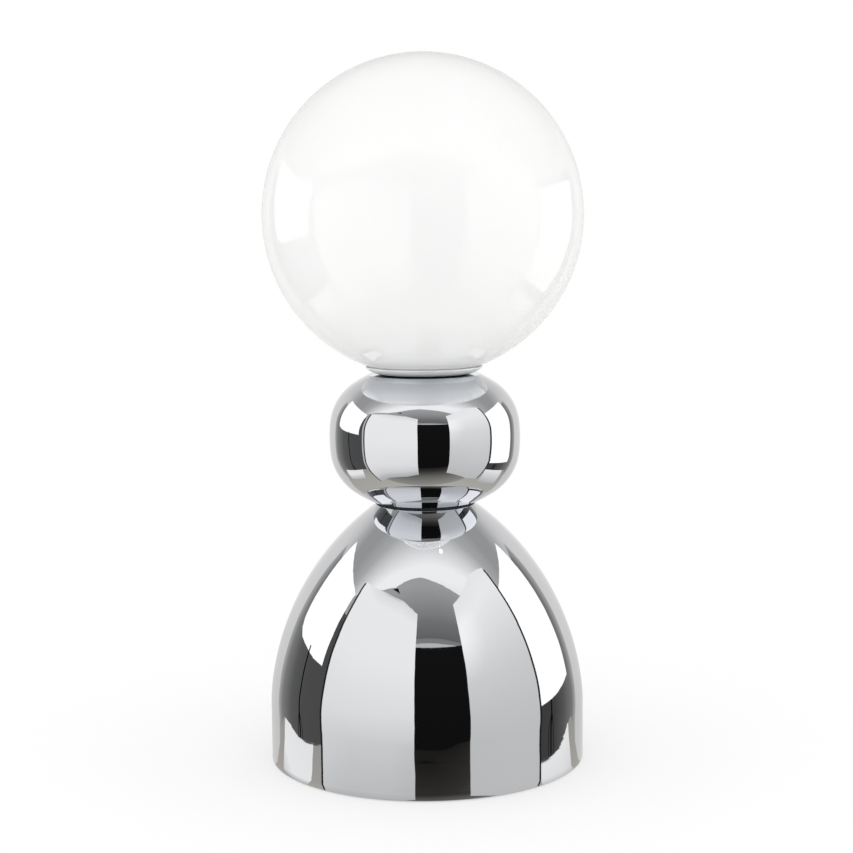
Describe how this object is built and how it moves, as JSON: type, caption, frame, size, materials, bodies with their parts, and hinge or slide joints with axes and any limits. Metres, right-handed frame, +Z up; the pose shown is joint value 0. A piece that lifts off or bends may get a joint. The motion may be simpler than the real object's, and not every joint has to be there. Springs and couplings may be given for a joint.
{
  "type": "table lamp",
  "caption": "Table lamp: opal glass globe resting in a shallow chrome dish on a flattened chrome ball and a weighted chrome dome, with a screw-in bulb.",
  "frame": {"origin": "centre of the pad the lamp stands on", "axes": "+Z up along the lamp axis, -Y to the front, cable inlet on +Y"},
  "size_m": [0.2, 0.2015, 0.4432],
  "materials": {
    "opal_glass": "glossy opal white, opaque to the eye",
    "chrome": "polished mirror chrome",
    "silicone": "soft clear silicone, slightly pink",
    "black_fibre": "matt black vulcanised fibre",
    "zinc_steel": "zinc plated steel, satin",
    "spring_steel": "rolled spring steel",
    "ballast_steel": "black painted plate, rough",
    "felt": "black needle felt",
    "rubber": "black moulded rubber",
    "phenolic": "black phenolic moulding",
    "porcelain": "glazed steatite",
    "brass": "bright brass",
    "nickel": "nickel plated, bright",
    "white_plastic": "white moulded plastic",
    "diffuser": "frosted white polycarbonate",
    "black_glass": "black vitrite",
    "board": "green glass-fibre board",
    "aluminium": "white-masked aluminium board",
    "led_phosphor": "yellow phosphor",
    "brown_pvc": "brown insulation",
    "blue_pvc": "blue insulation",
    "green_pvc": "green insulation with a yellow stripe"
  },
  "bodies": {
    "lamp": {"globe_gasket": "silicone", "dish": "chrome", "dish_washer": "black_fibre", "fitter_ring": "zinc_steel", "fitter_springs": "spring_steel", "fitter_rivets": "nickel", "clamp_washer": "zinc_steel", "upper_lock_washer": "spring_steel", "upper_nut": "zinc_steel", "stem_tube": "zinc_steel", "tube_bushes": "white_plastic", "pebble_shell": "chrome", "pebble_spacer": "zinc_steel", "neck_washer": "black_fibre", "dome_shell": "chrome", "dome_washer": "zinc_steel", "lower_lock_washer": "spring_steel", "lower_nut": "zinc_steel", "mounting_tabs": "zinc_steel", "tab_nuts": "zinc_steel", "ballast_plate": "ballast_steel", "ballast_screws": "zinc_steel", "base_pad": "felt", "cable_gland": "rubber", "terminal_block": "white_plastic", "block_clamp_screws": "brass", "block_screws": "zinc_steel", "lead_live": "brown_pvc", "lead_neutral": "blue_pvc", "lead_earth": "green_pvc", "earth_tag": "brass", "earth_screw": "brass", "holder_cap": "phenolic", "holder_grub_screw": "zinc_steel", "holder_core": "porcelain", "holder_terminals": "brass", "holder_thread_shell": "brass", "holder_centre_contact": "brass", "holder_skirt": "phenolic"},
    "globe": {"globe": "opal_glass"},
    "bulb_rise": {"bulb_tip_contact": "nickel"},
    "bulb": {"bulb_cap_insulator": "black_glass", "bulb_cap": "nickel", "bulb_body": "white_plastic", "bulb_diffuser": "diffuser", "led_board": "aluminium", "leds": "led_phosphor", "driver_board": "board", "driver_parts": "phenolic"}
  },
  "joints": [
    {"name": "globe_lift", "type": "slide", "parent": "lamp", "child": "globe", "axis": [0, 0, 1], "range_m": [0, 0.15]},
    {"name": "bulb_rise", "type": "slide", "parent": "lamp", "child": "bulb_rise", "axis": [0, 0, 1], "range_m": [0, 0.01452]},
    {"name": "bulb_turn", "type": "hinge", "parent": "bulb_rise", "child": "bulb", "pos_m": [0, 0, 0.28], "axis": [0, 0, 1], "range_deg": [0, 1440]}
  ],
  "couplings": [
    {"joint": "bulb_rise", "follows": "bulb_turn", "m_per_rad": 0.00057773}
  ]
}
